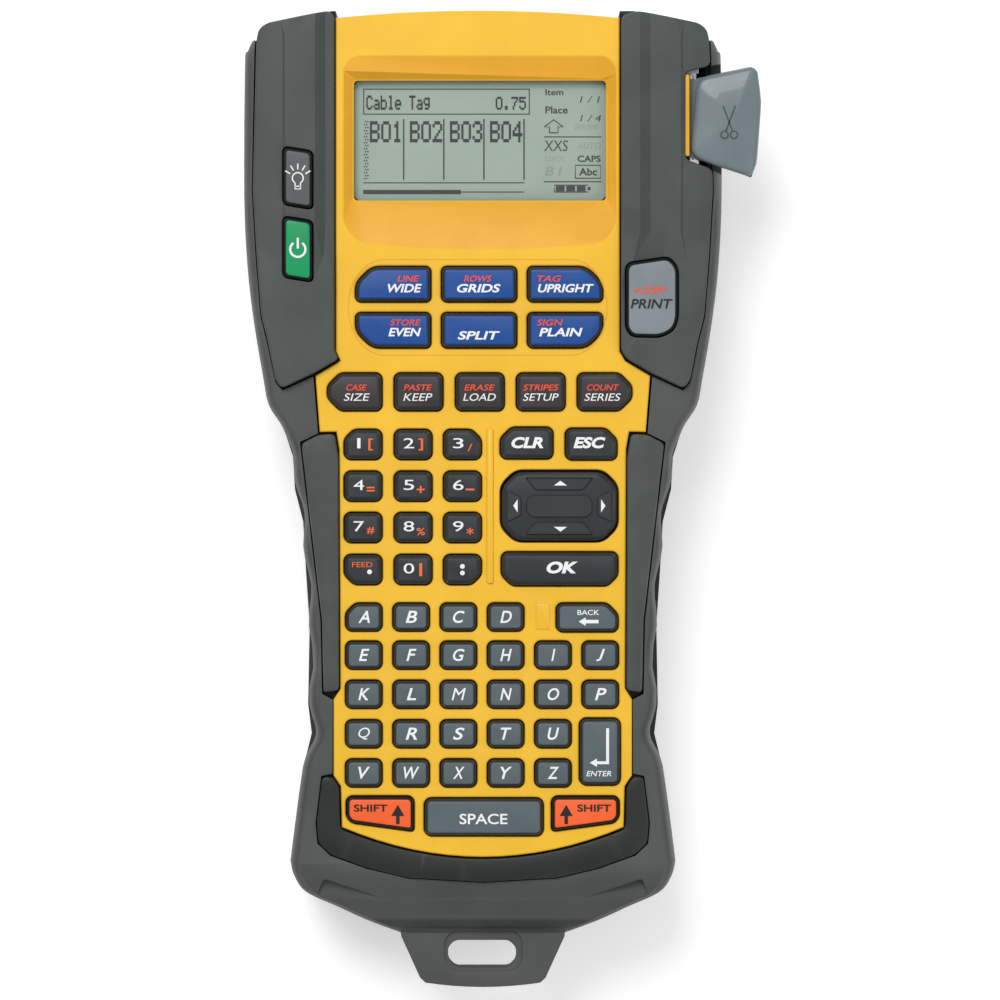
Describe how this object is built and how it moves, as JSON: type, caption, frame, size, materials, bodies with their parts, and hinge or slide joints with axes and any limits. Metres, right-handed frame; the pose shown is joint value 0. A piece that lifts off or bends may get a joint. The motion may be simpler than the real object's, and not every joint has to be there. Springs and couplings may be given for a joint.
{
  "type": "handheld label maker",
  "caption": "Rugged handheld label maker with keyboard, display, side cutter lever, tape cassette bay and lanyard loop.",
  "frame": {"origin": "middle of the rest plane under the whole object's bounding box, lying on its back", "axes": "+Z out of the key face, +Y towards the label exit end, +X towards the cutter lever"},
  "size_m": [0.1434, 0.27, 0.0544],
  "materials": {
    "bezel_yellow": "satin",
    "cover_grey": "fine grain",
    "chin_black": "fine grain",
    "bumper_rubber": "moulded soft grip",
    "shell_black": "fine grain",
    "latch_grey": "satin",
    "window_clear": "clear",
    "lcd_grey_green": "reflective display",
    "board_green": "solder mask",
    "key_grey": "silicone keys",
    "key_dark": "silicone keys",
    "key_blue": "satin",
    "key_brown_black": "satin",
    "key_orange": "silicone keys",
    "button_charcoal": "satin",
    "button_green": "satin",
    "button_grey": "satin",
    "lever_grey": "satin",
    "nylon_cream": "natural",
    "bright_steel": "ground",
    "roller_rubber": "ground rubber",
    "head_ceramic": "anodised heat sink",
    "cassette_grey": "translucent grey",
    "label_white": "wound vinyl tape",
    "ribbon_black": "wound ribbon",
    "cell_wrap": "shrink wrap"
  },
  "bodies": {
    "housing": {"back_shell": "shell_black", "front_shell": "bezel_yellow", "rubber_bumper": "bumper_rubber", "left_upper_panel": "cover_grey", "right_upper_panel": "cover_grey", "left_grip_panel": "cover_grey", "right_grip_panel": "cover_grey", "chin_panel": "chin_black", "display_window": "window_clear", "lcd_module": "lcd_grey_green", "main_board": "board_green", "letter_keypad": "key_grey", "number_keypad": "key_dark", "mechanism_frame": "bright_steel", "drive_motor": "bright_steel", "print_head": "head_ceramic", "cassette_case": "cassette_grey", "battery_pack": "cell_wrap", "power_jack": "shell_black", "lever_pin": "bright_steel", "housing_screw_1": "bright_steel", "housing_screw_2": "bright_steel", "housing_screw_3": "bright_steel", "housing_screw_4": "bright_steel"},
    "hot_key_1": {"hot_key_1": "key_blue"},
    "hot_key_2": {"hot_key_2": "key_blue"},
    "hot_key_3": {"hot_key_3": "key_blue"},
    "hot_key_4": {"hot_key_4": "key_blue"},
    "hot_key_5": {"hot_key_5": "key_blue"},
    "hot_key_6": {"hot_key_6": "key_blue"},
    "function_key_1": {"function_key_1": "key_brown_black"},
    "function_key_2": {"function_key_2": "key_brown_black"},
    "function_key_3": {"function_key_3": "key_brown_black"},
    "function_key_4": {"function_key_4": "key_brown_black"},
    "function_key_5": {"function_key_5": "key_brown_black"},
    "clear_key": {"clear_key": "key_dark"},
    "escape_key": {"escape_key": "key_dark"},
    "ok_key": {"ok_key": "key_dark"},
    "backspace_key": {"backspace_key": "key_grey"},
    "enter_key": {"enter_key": "key_grey"},
    "space_key": {"space_key": "key_grey"},
    "shift_key_left": {"shift_key_left": "key_orange"},
    "shift_key_right": {"shift_key_right": "key_orange"},
    "light_button": {"light_button": "button_charcoal"},
    "power_button": {"power_button": "button_green"},
    "print_button": {"print_button": "button_grey"},
    "nav_gimbal": {"nav_gimbal": "nylon_cream"},
    "nav_pad": {"nav_pad": "key_dark"},
    "cutter_lever": {"cutter_lever": "lever_grey"},
    "blade_carrier": {"blade_carrier": "nylon_cream", "cutter_blade": "bright_steel"},
    "tape_spool": {"tape_spool": "label_white"},
    "ribbon_take_up_spool": {"ribbon_take_up_spool": "ribbon_black"},
    "platen_roller": {"platen_roller": "roller_rubber"},
    "idler_gear": {"idler_gear": "nylon_cream"},
    "motor_pinion": {"motor_pinion": "nylon_cream"},
    "cassette_door": {"cassette_door": "shell_black"},
    "door_latch": {"door_latch": "latch_grey"},
    "battery_door": {"battery_door": "shell_black"}
  },
  "joints": [
    {"name": "hot_key_1_press", "type": "slide", "parent": "housing", "child": "hot_key_1", "axis": [0, 0, -1], "range_m": [0, 0.0012], "stiffness_N_per_m": 250, "springref_m": -0.0004},
    {"name": "hot_key_2_press", "type": "slide", "parent": "housing", "child": "hot_key_2", "axis": [0, 0, -1], "range_m": [0, 0.0012], "stiffness_N_per_m": 250, "springref_m": -0.0004},
    {"name": "hot_key_3_press", "type": "slide", "parent": "housing", "child": "hot_key_3", "axis": [0, 0, -1], "range_m": [0, 0.0012], "stiffness_N_per_m": 250, "springref_m": -0.0004},
    {"name": "hot_key_4_press", "type": "slide", "parent": "housing", "child": "hot_key_4", "axis": [0, 0, -1], "range_m": [0, 0.0012], "stiffness_N_per_m": 250, "springref_m": -0.0004},
    {"name": "hot_key_5_press", "type": "slide", "parent": "housing", "child": "hot_key_5", "axis": [0, 0, -1], "range_m": [0, 0.0012], "stiffness_N_per_m": 250, "springref_m": -0.0004},
    {"name": "hot_key_6_press", "type": "slide", "parent": "housing", "child": "hot_key_6", "axis": [0, 0, -1], "range_m": [0, 0.0012], "stiffness_N_per_m": 250, "springref_m": -0.0004},
    {"name": "function_key_1_press", "type": "slide", "parent": "housing", "child": "function_key_1", "axis": [0, 0, -1], "range_m": [0, 0.0012], "stiffness_N_per_m": 250, "springref_m": -0.0004},
    {"name": "function_key_2_press", "type": "slide", "parent": "housing", "child": "function_key_2", "axis": [0, 0, -1], "range_m": [0, 0.0012], "stiffness_N_per_m": 250, "springref_m": -0.0004},
    {"name": "function_key_3_press", "type": "slide", "parent": "housing", "child": "function_key_3", "axis": [0, 0, -1], "range_m": [0, 0.0012], "stiffness_N_per_m": 250, "springref_m": -0.0004},
    {"name": "function_key_4_press", "type": "slide", "parent": "housing", "child": "function_key_4", "axis": [0, 0, -1], "range_m": [0, 0.0012], "stiffness_N_per_m": 250, "springref_m": -0.0004},
    {"name": "function_key_5_press", "type": "slide", "parent": "housing", "child": "function_key_5", "axis": [0, 0, -1], "range_m": [0, 0.0012], "stiffness_N_per_m": 250, "springref_m": -0.0004},
    {"name": "clear_key_press", "type": "slide", "parent": "housing", "child": "clear_key", "axis": [0, 0, -1], "range_m": [0, 0.0012], "stiffness_N_per_m": 250, "springref_m": -0.0004},
    {"name": "escape_key_press", "type": "slide", "parent": "housing", "child": "escape_key", "axis": [0, 0, -1], "range_m": [0, 0.0012], "stiffness_N_per_m": 250, "springref_m": -0.0004},
    {"name": "ok_key_press", "type": "slide", "parent": "housing", "child": "ok_key", "axis": [0, 0, -1], "range_m": [0, 0.0012], "stiffness_N_per_m": 250, "springref_m": -0.0004},
    {"name": "backspace_key_press", "type": "slide", "parent": "housing", "child": "backspace_key", "axis": [0, 0, -1], "range_m": [0, 0.0012], "stiffness_N_per_m": 250, "springref_m": -0.0004},
    {"name": "enter_key_press", "type": "slide", "parent": "housing", "child": "enter_key", "axis": [0, 0, -1], "range_m": [0, 0.0012], "stiffness_N_per_m": 250, "springref_m": -0.0004},
    {"name": "space_key_press", "type": "slide", "parent": "housing", "child": "space_key", "axis": [0, 0, -1], "range_m": [0, 0.0012], "stiffness_N_per_m": 250, "springref_m": -0.0004},
    {"name": "shift_key_left_press", "type": "slide", "parent": "housing", "child": "shift_key_left", "axis": [0, 0, -1], "range_m": [0, 0.0012], "stiffness_N_per_m": 250, "springref_m": -0.0004},
    {"name": "shift_key_right_press", "type": "slide", "parent": "housing", "child": "shift_key_right", "axis": [0, 0, -1], "range_m": [0, 0.0012], "stiffness_N_per_m": 250, "springref_m": -0.0004},
    {"name": "light_button_press", "type": "slide", "parent": "housing", "child": "light_button", "axis": [0, 0, -1], "range_m": [0, 0.0012], "stiffness_N_per_m": 250, "springref_m": -0.0004},
    {"name": "power_button_press", "type": "slide", "parent": "housing", "child": "power_button", "axis": [0, 0, -1], "range_m": [0, 0.0012], "stiffness_N_per_m": 250, "springref_m": -0.0004},
    {"name": "print_button_press", "type": "slide", "parent": "housing", "child": "print_button", "axis": [0, 0, -1], "range_m": [0, 0.0012], "stiffness_N_per_m": 250, "springref_m": -0.0004},
    {"name": "nav_tilt_up_down", "type": "hinge", "parent": "housing", "child": "nav_gimbal", "pos_m": [0.0159, -0.0017, 0.0438], "axis": [1, 0, 0], "range_deg": [-2.5, 2.5], "stiffness_Nm_per_rad": 0.15},
    {"name": "nav_tilt_left_right", "type": "hinge", "parent": "nav_gimbal", "child": "nav_pad", "pos_m": [0.0159, -0.0017, 0.0438], "axis": [0, 1, 0], "range_deg": [-2.5, 2.5], "stiffness_Nm_per_rad": 0.15},
    {"name": "cutter_lever_press", "type": "hinge", "parent": "housing", "child": "cutter_lever", "pos_m": [0.0523, 0.1055, 0.046], "axis": [0, 1, 0], "range_deg": [0, 14], "stiffness_Nm_per_rad": 0.35, "springref_deg": -5.73},
    {"name": "blade_carrier_slide", "type": "slide", "parent": "housing", "child": "blade_carrier", "axis": [-1, 0, 0], "range_m": [0, 0.0031]},
    {"name": "tape_spool_turn", "type": "hinge", "parent": "housing", "child": "tape_spool", "pos_m": [-0.0172, 0.088, 0.017], "axis": [0, 0, 1], "continuous": true},
    {"name": "ribbon_spool_turn", "type": "hinge", "parent": "housing", "child": "ribbon_take_up_spool", "pos_m": [0.0208, 0.06, 0.017], "axis": [0, 0, 1], "continuous": true},
    {"name": "platen_turn", "type": "hinge", "parent": "housing", "child": "platen_roller", "pos_m": [0.0335, 0.112, 0.02], "axis": [0, 0, 1], "continuous": true},
    {"name": "idler_turn", "type": "hinge", "parent": "housing", "child": "idler_gear", "pos_m": [0.03417, 0.09804, 0.034], "axis": [0, 0, 1], "continuous": true},
    {"name": "pinion_turn", "type": "hinge", "parent": "housing", "child": "motor_pinion", "pos_m": [0.0468, 0.096, 0.034], "axis": [0, 0, 1], "continuous": true},
    {"name": "cassette_door_swing", "type": "hinge", "parent": "housing", "child": "cassette_door", "pos_m": [-0.0052, 0.0378, 0.0019], "axis": [-1, 0, 0], "range_deg": [0, 105]},
    {"name": "door_latch_slide", "type": "slide", "parent": "housing", "child": "door_latch", "axis": [0, 1, 0], "range_m": [0, 0.0016], "stiffness_N_per_m": 400, "springref_m": -0.0005},
    {"name": "battery_door_lift_off", "type": "slide", "parent": "housing", "child": "battery_door", "axis": [0, 0, -1], "range_m": [0, 0.02]}
  ],
  "couplings": [
    {"joint": "blade_carrier_slide", "follows": "cutter_lever_press", "m_per_rad": 0.012},
    {"joint": "platen_turn", "follows": "tape_spool_turn", "ratio": -5},
    {"joint": "idler_turn", "follows": "tape_spool_turn", "ratio": 3.75},
    {"joint": "pinion_turn", "follows": "tape_spool_turn", "ratio": -6.25},
    {"joint": "ribbon_spool_turn", "follows": "tape_spool_turn", "ratio": 2.4}
  ]
}
